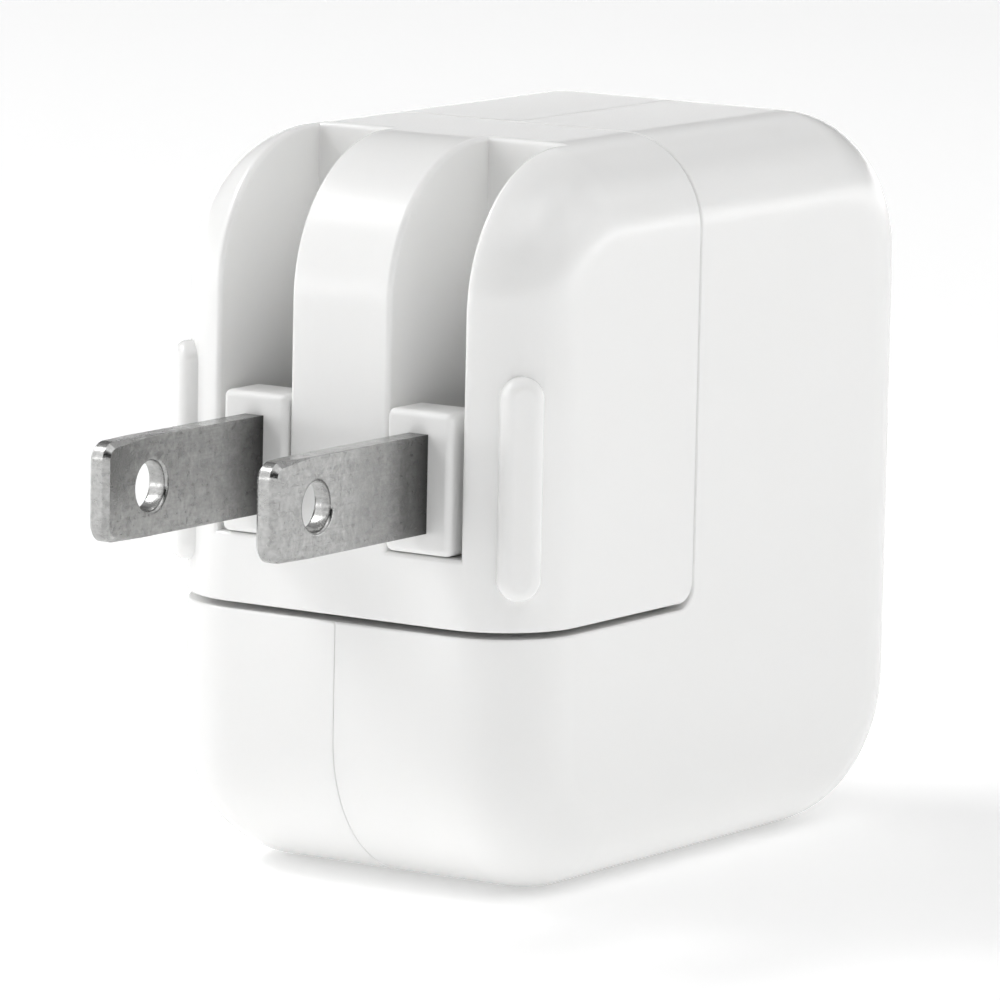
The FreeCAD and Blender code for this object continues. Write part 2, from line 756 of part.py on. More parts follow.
def make_low_voltage_parts():
    """Isolator, suppressor and controller on the main board, output parts on the port board."""
    y = rear - 13.0
    middle = usb_level
    isolator = standing(isolator_size, 0.5, y, middle - 4.0)
    feet = [(y + along, middle + z) for along in (0.9, isolator_size[1] - 0.9) for z in (-3.0, -0.4)]
    leaded(isolator, 1.5, feet, "optocoupler")
    save(standing(chip_size, 0, y, middle + 2.2), "controller_chip")
    disc_y = y + isolator_size[1] + disc_radius + 0.2
    x = board_face + disc_radius + 0.4
    half = disc_thickness / 2
    disc = rod(disc_radius, Vector(x, disc_y, middle - half), Vector(x, disc_y, middle + half))
    disc = disc.makeFillet(1.0, edges_where(disc, lambda edge: edge.BoundBox.ZLength < 0.01))
    leaded(disc, 1.5, [(disc_y, middle - 0.9), (disc_y, middle + 0.9)], "safety_capacitor")
    can_y = rear - 8.5
    cans = []
    for z in (middle - 5.2, middle + 5.2):
        can = cross_rod(output_can_radius, port_face, port_face + output_can_length, can_y, z)
        end = edges_where(can, lambda edge: flat_at(edge, "X", port_face + output_can_length))
        cans.append(can.makeFillet(0.35, end))
    save(Part.makeCompound(cans), "output_capacitors")
    length, deep, tall = rectifier_size
    rectifier = box(port_face, port_face + length, can_y - deep / 2, can_y + deep / 2,
                    middle - tall / 2, middle + tall / 2)
    save(rectifier, "output_rectifier")


# ---- USB socket

def make_usb_socket():
    """Steel shell, insulator with its tongue, and four contacts."""
    back = usb_mouth - usb_depth
    root = back + usb_metal
    shell = usb_outline(0, back, usb_mouth).cut(usb_outline(-usb_metal, root, usb_mouth + 1))
    shell = shell.makeFillet(0.1, edges_where(shell, lambda edge: flat_at(edge, "Y", usb_mouth)))
    save(shell, "usb_shell")
    tongue_right = usb_height / 2 - usb_metal - 0.5
    tongue_left = tongue_right - tongue_thickness
    tip = usb_mouth - tongue_recess
    tongue = box(tongue_left, tongue_right, root + 1, tip,
                 usb_level - tongue_length / 2, usb_level + tongue_length / 2)
    nose = edges_where(tongue, lambda edge: flat_at(edge, "Y", tip) and edge.BoundBox.ZLength > 5)
    tongue = join([usb_outline(-usb_metal - 0.02, root, root + tongue_root), tongue.makeFillet(0.4, nose)])
    half = contact_thickness / 2
    contacts = Part.makeCompound([
        box(tongue_left - half, tongue_left + half, root + tongue_root, tip - 1.1,
            usb_level + place - contact_width / 2, usb_level + place + contact_width / 2)
        for place in contact_places])
    save(tongue.cut(contacts), "usb_tongue")
    save(contacts, "usb_contacts")


make_housing()
make_plug_shell()
make_back_cover()
make_lock_channel()
make_lock_stud()
make_pivot_retainer()
for side_name, side_sign in sides:
    make_blade(side_name, side_sign)
make_carrier()
make_inlet()
make_socket()
make_detent_spring()
make_boards()
make_mains_parts()
make_reservoirs()
make_transformer()
make_low_voltage_parts()
make_usb_socket()
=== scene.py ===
import json
import math
import bmesh
import bpy
from mathutils import Matrix, Vector


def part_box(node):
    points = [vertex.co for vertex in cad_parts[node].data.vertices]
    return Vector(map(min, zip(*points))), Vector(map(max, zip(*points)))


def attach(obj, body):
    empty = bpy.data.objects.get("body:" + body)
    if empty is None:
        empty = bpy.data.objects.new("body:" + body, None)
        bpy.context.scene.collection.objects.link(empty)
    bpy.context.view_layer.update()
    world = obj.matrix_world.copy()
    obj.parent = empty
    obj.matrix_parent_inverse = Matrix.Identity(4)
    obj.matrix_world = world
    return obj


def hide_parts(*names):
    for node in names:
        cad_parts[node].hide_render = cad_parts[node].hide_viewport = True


# A USB wall charger with a detachable plug module and folding blades.
# Shapes are modelled in millimetres and brought to metres when a piece is finished.
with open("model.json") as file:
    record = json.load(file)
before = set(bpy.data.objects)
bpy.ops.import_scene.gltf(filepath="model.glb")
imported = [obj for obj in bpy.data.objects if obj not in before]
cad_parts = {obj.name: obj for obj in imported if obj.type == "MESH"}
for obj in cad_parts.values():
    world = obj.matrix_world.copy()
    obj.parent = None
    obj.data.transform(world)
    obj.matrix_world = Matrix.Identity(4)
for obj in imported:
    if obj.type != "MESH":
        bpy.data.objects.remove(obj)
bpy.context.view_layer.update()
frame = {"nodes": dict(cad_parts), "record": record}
nodes = frame["nodes"]
mm = 0.001
touch = 0.01  # how near counts as lying on a plane
merge = 0.0005  # how near two corners are made one
flatEnough = math.radians(0.2)  # faces that meet at less than this are one flat face
squareEdge = math.radians(70)  # faces that meet more sharply than this make a square edge
overlap = 1.0  # how far a cutter reaches past what it cuts


def nodeBox(name):
    low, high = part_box(name)
    return low / mm, high / mm


def sideOf(name):
    return -1 if name.endswith("_left") else 1


# Mesh tools shared by the pieces

def bevelEdges(form, edges, radius, segments):
    bmesh.ops.bevel(form, geom=list(edges), offset=radius, offset_type="OFFSET", segments=segments,
                    profile=0.5, affect="EDGES", clamp_overlap=False, material=-1)


def boxForm(low, high, radius=0.0, segments=4, chosen=None):
    # a block between two corners, with the chosen edges rounded
    form = bmesh.new()
    bmesh.ops.create_cube(form, size=1)
    low, high = Vector(low), Vector(high)
    bmesh.ops.scale(form, vec=high - low, verts=form.verts)
    bmesh.ops.translate(form, vec=(low + high) / 2, verts=form.verts)
    if radius:
        bevelEdges(form, [edge for edge in form.edges if chosen is None or chosen(edge)], radius, segments)
    return form


def runsAlong(edge, axis):
    along = edge.verts[1].co - edge.verts[0].co
    return abs(along[axis]) > 0.99 * along.length


def liesAt(edge, axis, value):
    return all(abs(corner.co[axis] - value) < touch for corner in edge.verts)


def turnedForm(profile, start, axis, steps=64):
    # profile points are (radius, distance along the axis), spun round the axis
    form = bmesh.new()
    axis = Vector(axis)
    across = Vector((0, 0, 1)) if abs(axis.z) < 0.5 else Vector((1, 0, 0))
    corners = [form.verts.new(Vector(start) + across * radius + axis * reach) for radius, reach in profile]
    edges = [form.edges.new(pair) for pair in zip(corners, corners[1:])]
    bmesh.ops.spin(form, geom=corners + edges, cent=start, axis=axis, angle=math.tau, steps=steps,
                   use_merge=True)
    bmesh.ops.remove_doubles(form, verts=form.verts, dist=merge)
    bmesh.ops.recalc_face_normals(form, faces=form.faces)
    return form


def rodForm(radius, start, axis, length, steps=64):
    return turnedForm([(0, 0), (radius, 0), (radius, length), (0, length)], start, axis, steps)


def draftPiece(form, name="draft"):
    mesh = bpy.data.meshes.new(name)
    form.to_mesh(mesh)
    form.free()
    piece = bpy.data.objects.new(name, mesh)
    bpy.context.scene.collection.objects.link(piece)
    return piece


def combine(form, other, operation="DIFFERENCE"):
    # cuts, joins or intersects two forms and gives the result as one form
    piece, tool = draftPiece(form), draftPiece(other)
    modifier = piece.modifiers.new("combine", "BOOLEAN")
    modifier.operation = operation
    modifier.solver = "EXACT"
    modifier.object = tool
    settled = piece.evaluated_get(bpy.context.evaluated_depsgraph_get())
    mesh = bpy.data.meshes.new_from_object(settled)
    result = bmesh.new()
    result.from_mesh(mesh)
    for drafted in (piece, tool):
        oldMesh = drafted.data
        bpy.data.objects.remove(drafted)
        bpy.data.meshes.remove(oldMesh)
    bpy.data.meshes.remove(mesh)
    bmesh.ops.remove_doubles(result, verts=result.verts, dist=merge)
    return result


def finishPiece(name, form, material, body, slot, *replaced, crisp=32):
    bmesh.ops.scale(form, vec=(mm, mm, mm), verts=form.verts)
    for face in form.faces:
        face.smooth = True
    piece = draftPiece(form, name)
    piece.data.set_sharp_from_angle(angle=math.radians(crisp))
    weighted = piece.modifiers.new("weightedNormal", "WEIGHTED_NORMAL")
    weighted.keep_sharp = True
    piece.data.materials.append(material)
    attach(piece, body)
    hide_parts(*replaced)
    print(f"{name}: {len(piece.data.polygons)} faces")
    return piece


# Materials

def linearColour(hexCode):
    parts = [int(hexCode[start:start + 2], 16) / 255 for start in (1, 3, 5)]
    straight = [part / 12.92 if part <= 0.04045 else ((part + 0.055) / 1.055) ** 2.4 for part in parts]
    return (*straight, 1.0)


def addNode(tree, kind, settings=None, links=None):
    node = tree.nodes.new(kind)
    for name, value in (settings or {}).items():
        if isinstance(name, int) or name in node.inputs:
            node.inputs[name].default_value = value
        else:
            setattr(node, name, value)
    for name, source in (links or {}).items():
        tree.links.new(source, node.inputs[name])
    return node


def newMaterial(name):
    material = bpy.data.materials.new(name)
    material.use_nodes = True
    material.node_tree.nodes.clear()
    return material, material.node_tree


def finishMaterial(material, tree, shaderSettings, links):
    shader = addNode(tree, "ShaderNodeBsdfPrincipled", shaderSettings, links)
    addNode(tree, "ShaderNodeOutputMaterial", {}, {"Surface": shader.outputs["BSDF"]})
    return material


def polishedPolycarbonate():
    # injection-moulded white polycarbonate from a polished tool: bright, even, slightly translucent,
    # with a faint waviness in its reflections and a very fine grain
    look = {"colour": "#F7F7F6", "shade": "#F5F5F4", "roughness": (0.20, 0.27), "ior": 1.58,
            "cloudSize": 14.0, "waveSize": 5.0, "waveHeight": 0.004, "grainSize": 0.12, "grainHeight": 0.0008,
            "depthShare": 0.2, "depth": 0.8, "depthTint": (1.0, 0.97, 0.94)}
    material, tree = newMaterial("polishedWhitePolycarbonate")
    place = addNode(tree, "ShaderNodeTexCoord").outputs["Object"]
    cloud = addNode(tree, "ShaderNodeTexNoise", {"Scale": 1 / (look["cloudSize"] * mm), "Detail": 2.0},
                    {"Vector": place})
    colour = addNode(tree, "ShaderNodeMix", {"data_type": "RGBA", 6: linearColour(look["colour"]),
                                             7: linearColour(look["shade"])}, {0: cloud.outputs["Fac"]})
    wave = addNode(tree, "ShaderNodeTexNoise", {"Scale": 1 / (look["waveSize"] * mm), "Detail": 0.0},
                   {"Vector": place})
    grain = addNode(tree, "ShaderNodeTexNoise", {"Scale": 1 / (look["grainSize"] * mm), "Detail": 1.0},
                    {"Vector": place})
    smoothest, roughest = look["roughness"]
    rough = addNode(tree, "ShaderNodeMapRange", {"To Min": smoothest, "To Max": roughest},
                    {"Value": grain.outputs["Fac"]})
    swell = addNode(tree, "ShaderNodeBump", {"Distance": look["waveHeight"] * mm},
                    {"Height": wave.outputs["Fac"]})
    relief = addNode(tree, "ShaderNodeBump", {"Distance": look["grainHeight"] * mm},
                     {"Height": grain.outputs["Fac"], "Normal": swell.outputs["Normal"]})
    return finishMaterial(material, tree,
                          {"IOR": look["ior"], "Subsurface Weight": look["depthShare"],
                           "Subsurface Scale": look["depth"] * mm, "Subsurface Radius": look["depthTint"]},
                          {"Base Color": colour.outputs[2], "Roughness": rough.outputs["Result"],
                           "Normal": relief.outputs["Normal"]})


def nickelledBrass(name, shadeStart, shadeEnd):
    # brass strip, rolled and stamped, then nickel plated and barrel tumbled: a neutral grey mirror clouded
    # by small overlapping scuffs, with only faint lines the way the blade slides; the dark root is painted
    # in and stands for the dark things that a real blade mirrors there, so it stays dark when folded
    look = {"bright": "#BFBFBE", "dull": "#969695", "rootShade": "#4A4A49", "roughness": (0.16, 0.34),
            "scuff": 0.7, "fleck": 0.25, "fleckShare": 0.5, "scuffHeight": 0.006,
            "lineWidth": 0.12, "lineLength": 3.0, "lineShare": 0.35, "lineHeight": 0.0008,
            "levels": (0.6, 1.2)}
    material, tree = newMaterial(name)
    place = addNode(tree, "ShaderNodeTexCoord").outputs["Object"]
    scuff = addNode(tree, "ShaderNodeTexNoise", {"Scale": 1 / (look["scuff"] * mm), "Detail": 4.0,
                                                 "Roughness": 0.62, "Distortion": 0.6}, {"Vector": place})
    fleck = addNode(tree, "ShaderNodeTexNoise", {"Scale": 1 / (look["fleck"] * mm), "Detail": 2.0},
                    {"Vector": place})
    perLength = 1 / (look["lineLength"] * mm)
    perWidth = 1 / (look["lineWidth"] * mm)
    drawn = addNode(tree, "ShaderNodeMapping", {"Scale": (perLength, perLength, perWidth)}, {"Vector": place})
    lines = addNode(tree, "ShaderNodeTexNoise", {"Scale": 1.0, "Detail": 2.0},
                    {"Vector": drawn.outputs["Vector"]})
    marks = addNode(tree, "ShaderNodeMath", {"operation": "MULTIPLY_ADD", 1: look["fleckShare"]},
                    {0: fleck.outputs["Fac"], 2: scuff.outputs["Fac"]})
    total = addNode(tree, "ShaderNodeMath", {"operation": "MULTIPLY_ADD", 1: look["lineShare"]},
                    {0: lines.outputs["Fac"], 2: marks.outputs[0]})
    darkest, lightest = look["levels"]
    level = addNode(tree, "ShaderNodeMapRange", {"From Min": darkest, "From Max": lightest},
                    {"Value": total.outputs[0]})
    colour = addNode(tree, "ShaderNodeMix", {"data_type": "RGBA", 6: linearColour(look["dull"]),
                                             7: linearColour(look["bright"])}, {0: level.outputs["Result"]})
    along = addNode(tree, "ShaderNodeSeparateXYZ", {}, {"Vector": place})
    root = addNode(tree, "ShaderNodeMapRange", {"From Min": shadeStart * mm, "From Max": shadeEnd * mm},
                   {"Value": along.outputs["Y"]})
    colour = addNode(tree, "ShaderNodeMix", {"data_type": "RGBA", 7: linearColour(look["rootShade"])},
                     {0: root.outputs["Result"], 6: colour.outputs[2]})
    smoothest, roughest = look["roughness"]
    rough = addNode(tree, "ShaderNodeMapRange", {"To Min": roughest, "To Max": smoothest},
                    {"Value": level.outputs["Result"]})
    dents = addNode(tree, "ShaderNodeBump", {"Distance": look["scuffHeight"] * mm},
                    {"Height": marks.outputs[0]})
    relief = addNode(tree, "ShaderNodeBump", {"Distance": look["lineHeight"] * mm},
                     {"Height": lines.outputs["Fac"], "Normal": dents.outputs["Normal"]})
    return finishMaterial(material, tree, {"Metallic": 1.0},
                          {"Base Color": colour.outputs[2], "Roughness": rough.outputs["Result"],
                           "Normal": relief.outputs["Normal"]})


def solderMaskedBoard():
    # glass-epoxy laminate under green solder mask: the copper tracks show through as paler, raised bands
    look = {"mask": "#1C5C34", "overCopper": "#2F8049", "roughness": 0.32, "ior": 1.5,
            "trackPitch": 1.6, "trackHeight": 0.03, "wander": 0.45, "trackEdge": (0.1, 0.13)}
    material, tree = newMaterial("greenSolderMaskedLaminate")
    place = addNode(tree, "ShaderNodeTexCoord").outputs["Object"]
    tracks = addNode(tree, "ShaderNodeTexVoronoi",
                     {"Scale": 1 / (look["trackPitch"] * mm), "feature": "DISTANCE_TO_EDGE",
                      "distance": "EUCLIDEAN", "Randomness": look["wander"]}, {"Vector": place})
    inner, outer = look["trackEdge"]
    band = addNode(tree, "ShaderNodeMapRange", {"From Min": inner, "From Max": outer},
                   {"Value": tracks.outputs[0]})
    colour = addNode(tree, "ShaderNodeMix", {"data_type": "RGBA", 6: linearColour(look["mask"]),
                                             7: linearColour(look["overCopper"])},
                     {0: band.outputs["Result"]})
    relief = addNode(tree, "ShaderNodeBump", {"Distance": look["trackHeight"] * mm},
                     {"Height": band.outputs["Result"]})
    return finishMaterial(material, tree, {"Roughness": look["roughness"], "IOR": look["ior"]},
                          {"Base Color": colour.outputs[2], "Normal": relief.outputs["Normal"]})


def enamelledWire():
    # copper wire under clear enamel, wound in close turns; the hollows between the turns carry painted shade
    look = {"paintedHollowShade": "#7A3A16", "crown": "#C87A3E", "pitch": 0.35, "roughness": 0.3, "enamel": 0.6}
    material, tree = newMaterial("enamelledCopperWire")
    place = addNode(tree, "ShaderNodeTexCoord").outputs["Object"]
    turns = addNode(tree, "ShaderNodeTexWave", {"Scale": 0.5 / (look["pitch"] * mm), "Distortion": 0.6,
                                                "Detail": 1.0, "bands_direction": "DIAGONAL"},
                    {"Vector": place})
    # painted shade: the wire is coloured darker where the wave is low, in the hollows between turns, and
    # keeps its own copper colour on the crowns
    colour = addNode(tree, "ShaderNodeMix", {"data_type": "RGBA", 6: linearColour(look["paintedHollowShade"]),
                                             7: linearColour(look["crown"])}, {0: turns.outputs["Fac"]})
    relief = addNode(tree, "ShaderNodeBump", {"Distance": look["pitch"] / 2 * mm},
                     {"Height": turns.outputs["Fac"]})
    return finishMaterial(material, tree, {"Metallic": 1.0, "Roughness": look["roughness"],
                                           "Coat Weight": look["enamel"]},
                          {"Base Color": colour.outputs[2], "Normal": relief.outputs["Normal"]})


def plainFinish(name, look):
    # two close tones in a cloud, a roughness that varies with the grain, and the grain's own relief;
    # stretch makes the grain into brushed, rolled or drawn lines along X, Y and Z
    material, tree = newMaterial(name)
    place = addNode(tree, "ShaderNodeTexCoord").outputs["Object"]
    drawn = addNode(tree, "ShaderNodeMapping", {"Scale": look.get("stretch", (1, 1, 1))}, {"Vector": place})
    grain = addNode(tree, "ShaderNodeTexNoise", {"Scale": 1 / (look["grain"] * mm), "Detail": 3.0},
                    {"Vector": drawn.outputs["Vector"]})
    first, second = look["colours"]
    colour = addNode(tree, "ShaderNodeMix",
                     {"data_type": "RGBA", 6: linearColour(first), 7: linearColour(second)},
                     {0: grain.outputs["Fac"]})
    low, high = look["roughness"]
    rough = addNode(tree, "ShaderNodeMapRange", {"To Min": low, "To Max": high},
                    {"Value": grain.outputs["Fac"]})
    relief = addNode(tree, "ShaderNodeBump", {"Distance": look["relief"] * mm},
                     {"Height": grain.outputs["Fac"]})
    return finishMaterial(material, tree, look.get("shader", {}),
                          {"Base Color": colour.outputs[2], "Roughness": rough.outputs["Result"],
                           "Normal": relief.outputs["Normal"]})


metal = {"Metallic": 1.0}
finishes = {
    # satin glass-filled nylon, moulded: fine even grain, soft sheen
    "satinWhiteNylon": {"colours": ("#F5F5F4", "#F1F1F0"), "grain": 0.1, "roughness": (0.34, 0.44),
                        "relief": 0.002, "shader": {"IOR": 1.53}},
    "satinGreyNylon": {"colours": ("#D3D3D1", "#C6C6C4"), "grain": 0.1, "roughness": (0.38, 0.5),
                       "relief": 0.003, "shader": {"IOR": 1.53}},
    # drawn and folded steel, bright nickel plated: fine lines from the drawing
    "drawnNickelledSteel": {"colours": ("#C9C8C5", "#B4B2AE"), "grain": 0.5, "roughness": (0.16, 0.3),
                            "relief": 0.0008, "stretch": (1, 0.06, 1), "shader": metal},
    # rolled phosphor bronze
    "rolledPhosphorBronze": {"colours": ("#CDA067", "#B58A52"), "grain": 0.4, "roughness": (0.22, 0.36),
                             "relief": 0.001, "stretch": (1, 1, 0.08), "shader": metal},
    # moulded black epoxy round chips and parts: fine matt grain
    "mouldedBlackEpoxy": {"colours": ("#1B1B1C", "#242425"), "grain": 0.12, "roughness": (0.5, 0.68),
                          "relief": 0.006, "shader": {"IOR": 1.55}},
    # extruded aluminium: straight die lines
    "extrudedAluminium": {"colours": ("#C4C6C8", "#AEB0B3"), "grain": 0.35, "roughness": (0.28, 0.42),
                          "relief": 0.003, "stretch": (1, 1, 0.04), "shader": metal},
    # yellow box of a film capacitor, filled and smooth
    "mouldedYellowEpoxy": {"colours": ("#D9A21F", "#CC9315"), "grain": 0.8, "roughness": (0.3, 0.4),
                           "relief": 0.004, "shader": {"IOR": 1.55}},
    # sintered ferrite: dark, speckled, nearly matt
    "sinteredFerrite": {"colours": ("#2B2B2D", "#3C3C3E"), "grain": 0.18, "roughness": (0.55, 0.75),
                        "relief": 0.01, "shader": {"IOR": 1.6}},
    # vinyl sleeve shrunk over a can
    "shrunkVinylSleeve": {"colours": ("#14182A", "#1C2136"), "grain": 1.2, "roughness": (0.2, 0.3),
                          "relief": 0.004, "shader": {"IOR": 1.52}},
    "drawnAluminiumCan": {"colours": ("#CACBCC", "#B7B8BA"), "grain": 0.4, "roughness": (0.2, 0.3),
                          "relief": 0.001, "stretch": (0.05, 1, 1), "shader": metal},
    # glossy polyester winding tape over uneven turns
    "polyesterTape": {"colours": ("#DDBB22", "#CDA612"), "grain": 1.6, "roughness": (0.14, 0.24),
                      "relief": 0.05, "shader": {"IOR": 1.6}},
    # milky polyester sheet
    "polyesterFilm": {"colours": ("#DAD9CF", "#CFCDC1"), "grain": 3.0, "roughness": (0.28, 0.4),
                      "relief": 0.01, "shader": {"IOR": 1.64, "Transmission Weight": 0.3}},
    # ceramic disc dipped in blue epoxy: glossy, slightly lumpy
    "dippedBlueEpoxy": {"colours": ("#1F4F9E", "#173F85"), "grain": 1.0, "roughness": (0.15, 0.25),
                        "relief": 0.03, "shader": {"IOR": 1.55}},
    # moulded white insulator of the socket
    "mouldedWhiteInsulator": {"colours": ("#ECECE8", "#E2E2DD"), "grain": 0.1, "roughness": (0.36, 0.46),
                              "relief": 0.003, "shader": {"IOR": 1.55}},
    # gold flash over nickel on a stamped contact
    "goldFlashedContact": {"colours": ("#E3BE74", "#D0A85A"), "grain": 0.3, "roughness": (0.18, 0.28),
                           "relief": 0.0008, "stretch": (1, 0.1, 1), "shader": metal},
}
whitePlastic = polishedPolycarbonate()
# where the root's shade starts and is full, in millimetres along Y; no pin reaches its own band
rootBands = {"blade": (-29, -24.5), "pin": (50, 60)}
bladeMetal = nickelledBrass("tumbledNickelPlatedBrass", *rootBands["blade"])
pinMetal = nickelledBrass("turnedNickelPlatedBrass", *rootBands["pin"])
made = {name: plainFinish(name, look) for name, look in finishes.items()}
finishOfSlot = {
    "white_shell": whitePlastic, "grey_insulator": made["satinGreyNylon"], "plated_brass": bladeMetal,
    "bright_steel": made["drawnNickelledSteel"], "contact_bronze": made["rolledPhosphorBronze"],
    "circuit_board": solderMaskedBoard(), "black_resin": made["mouldedBlackEpoxy"],
    "heat_sink_aluminium": made["extrudedAluminium"], "film_yellow": made["mouldedYellowEpoxy"],
    "ferrite": made["sinteredFerrite"], "enamelled_copper": enamelledWire(),
    "capacitor_sleeve": made["shrunkVinylSleeve"], "capacitor_can": made["drawnAluminiumCan"],
    "winding_tape": made["polyesterTape"], "insulation_film": made["polyesterFilm"],
    "ceramic_blue": made["dippedBlueEpoxy"], "port_plastic": made["mouldedWhiteInsulator"],
    "gold_contact": made["goldFlashedContact"],
}
slotOfNode = {subpart["node"]: subpart["material_slot"] for subpart in frame["record"]["subparts"]}
for name, slotName in slotOfNode.items():
    nodes[name].data.materials.clear()
    nodes[name].data.materials.append(finishOfSlot[slotName])
print("materials made")


# Outer form shared by the body and the plug module

caseHigh = nodeBox("housing_right")[1]
moduleLow, moduleHigh = nodeBox("plug_shell")
caseShape = {"cornerRadius": 10.0, "sideRadius": 6.0, "cornerSteps": 24, "sideSteps": 12, "lipRadius": 0.18,
             "seamRadius": 0.1, "wall": 1.8, "moduleWall": 1.6, "floorGap": 0.42, "backGap": 0.1,
             "notchRadius": 1.5}
halfWidth = caseHigh.x
front, rear, top = -caseHigh.y, caseHigh.y, caseHigh.z
notchFloor = moduleLow.z - caseShape["floorGap"]
notchWall = moduleHigh.y + caseShape["backGap"]
far = 200.0


def caseForm(inset):
    # four broad corners seen from the side, then the rims round both flat sides
    block = boxForm((inset - halfWidth, front + inset, inset), (halfWidth - inset, rear - inset, top - inset),
                    caseShape["cornerRadius"] - inset, caseShape["cornerSteps"],
                    lambda edge: runsAlong(edge, 0))
    rims = [edge for edge in block.edges
            if liesAt(edge, 0, halfWidth - inset) or liesAt(edge, 0, inset - halfWidth)]
    bevelEdges(block, rims, caseShape["sideRadius"] - inset, caseShape["sideSteps"])
    return block


def cornerSpace(y, z, radius):
    # all the room in front of y and above z
    return boxForm((-far, -far, z), (far, y, far), radius, 8,
                   lambda edge: liesAt(edge, 1, y) and liesAt(edge, 2, z))


def sharpLips(shape, test):
    # the square edges that pass a test
    return [edge for edge in shape.edges
            if len(edge.link_faces) == 2 and edge.calc_face_angle() > squareEdge and edge.is_convex
            and test(edge)]


def inTheNotch(edge):
    onFloor = liesAt(edge, 2, notchFloor)
    onWall = liesAt(edge, 1, notchWall)
    middle = (edge.verts[0].co + edge.verts[1].co) / 2
    reach = caseShape["notchRadius"]
    inCorner = abs(middle.y - notchWall) < reach and abs(middle.z - notchFloor) < reach
    return onFloor or onWall or inCorner


def figureEight(radius, low, high):
    pins = nodeBox("inlet_pin_right")
    inletY = (nodeBox("inlet_cup")[0].y + nodeBox("inlet_cup")[1].y) / 2
    pitch = 2 * (pins[1].x - inlet["pinRadius"])
    waist = radius * inlet["waist"]
    shape = boxForm((-pitch / 2, inletY - waist, low), (pitch / 2, inletY + waist, high))
    for side in (-1, 1):
        lobe = rodForm(radius, (side * pitch / 2, inletY, low), (0, 0, 1), high - low)
        shape = combine(shape, lobe, "UNION")
    return shape


# Body housing: two half shells that meet on the middle plane
inlet = {"pinRadius": 1.2, "waist": 0.86, "cupRadius": 4.8}
studNeck = {"radius": 1.8}
usbMouth = {"gap": 0.2, "depth": 5, "cornerRadius": 0.75, "cornerSteps": 5, "lipRadius": 0.3}


def makeHousing():
    shell = combine(caseForm(0), cornerSpace(notchWall, notchFloor, caseShape["notchRadius"]))
    bevelEdges(shell, sharpLips(shell, inTheNotch), caseShape["lipRadius"], 3)
    usbLow, usbHigh = nodeBox("usb_shell")
    gap = usbMouth["gap"]
    opening = boxForm((usbLow.x - gap, rear - usbMouth["depth"], usbLow.z - gap),
                      (usbHigh.x + gap, rear + overlap, usbHigh.z + gap),
                      usbMouth["cornerRadius"], usbMouth["cornerSteps"], lambda edge: runsAlong(edge, 1))
    shell = combine(shell, opening)
    bevelEdges(shell, sharpLips(shell, lambda edge: liesAt(edge, 1, rear)), usbMouth["lipRadius"], 3)
    wall = caseShape["wall"]
    cornerWall = cornerSpace(notchWall + wall, notchFloor - wall, caseShape["notchRadius"] + wall)
    shell = combine(shell, combine(caseForm(wall), cornerWall))
    shell = combine(shell, figureEight(inlet["cupRadius"], notchFloor - wall - overlap, notchFloor + overlap))
    studLow, studHigh = nodeBox("lock_stud")
    studLevel = (studLow.z + studHigh.z) / 2
    neckHole = rodForm(studNeck["radius"], (0, notchWall - overlap, studLevel), (0, 1, 0), wall + 2 * overlap)
    shell = combine(shell, neckHole)
    for name in ("housing_left", "housing_right"):
        side = sideOf(name)
        keep = boxForm((min(0, side * far), -far, -far), (max(0, side * far), far, far))
        half = combine(shell.copy(), keep, "INTERSECT")
        seam = sharpLips(half, lambda edge: liesAt(edge, 0, 0) and onOuterFace(edge))
        bevelEdges(half, seam, caseShape["seamRadius"], 2)
        finishPiece(name + "_shell", half, whitePlastic, "charger_body", "white_shell", name)
    shell.free()


def onOuterFace(edge):
    # the rounded rectangle that bounds the middle plane
    middle = (edge.verts[0].co + edge.verts[1].co) / 2
    radius = caseShape["cornerRadius"]
    beyondY = max(abs(middle.y) - (rear - radius), 0)
    beyondZ = max(abs(middle.z - top / 2) - (top / 2 - radius), 0)
    return math.hypot(beyondY, beyondZ) > radius - 3 * touch


makeHousing()
print("housing made")


# Blades: brass strip with rounded, bevelled tips and a coined hole
bladeShape = {"tipRadius": 1.1, "bevel": 0.35, "edgeRadius": 0.07, "holeRadius": 1.6, "coin": 0.25,
              "holeInset": 4.8, "holeSteps": 72, "width": 6.35, "tailLap": 0.5, "tailSteps": 48}
carrierShape = {"blockWidth": 4.9, "blockThickness": 3.8, "blockRadius": 0.45, "blockSteps": 5,
                "lift": 0.05, "barrel": 2.0, "gap": 0.05, "web": 1.2, "bladeNeck": 0.3}
pivot = Vector(frame["record"]["behaviour"]["joints"][1]["pos_m"]) / mm
carrierLow, carrierHigh = nodeBox("blade_carrier")
bladeLow, bladeHigh = nodeBox("blade_right")
bladeThickness = bladeHigh.x - bladeLow.x
bladeMiddle = (bladeLow.x + bladeHigh.x) / 2
bladeBottom = bladeHigh.z - bladeShape["width"]
blockBack = carrierLow.y + carrierShape["blockThickness"]


def bladeForm(side):
    # the flat blade, its tail inside the carrier and the round end on the pivot
    x0 = side * bladeMiddle - bladeThickness / 2
    x1 = side * bladeMiddle + bladeThickness / 2
    tip = bladeLow.y
    neckEnd = blockBack - carrierShape["bladeNeck"]
    blade = boxForm((x0, tip, bladeBottom), (x1, neckEnd, bladeHigh.z), bladeShape["tipRadius"], 8,
                    lambda edge: runsAlong(edge, 0) and liesAt(edge, 1, tip))
    barrel = carrierShape["barrel"]
    tail = boxForm((x0, neckEnd - bladeShape["tailLap"], bladeBottom), (x1, pivot.y, pivot.z + barrel))
    blade = combine(blade, tail, "UNION")
    roundTail = rodForm(barrel, (x0, pivot.y, pivot.z), (1, 0, 0), bladeThickness, bladeShape["tailSteps"])
    return combine(blade, roundTail, "UNION")


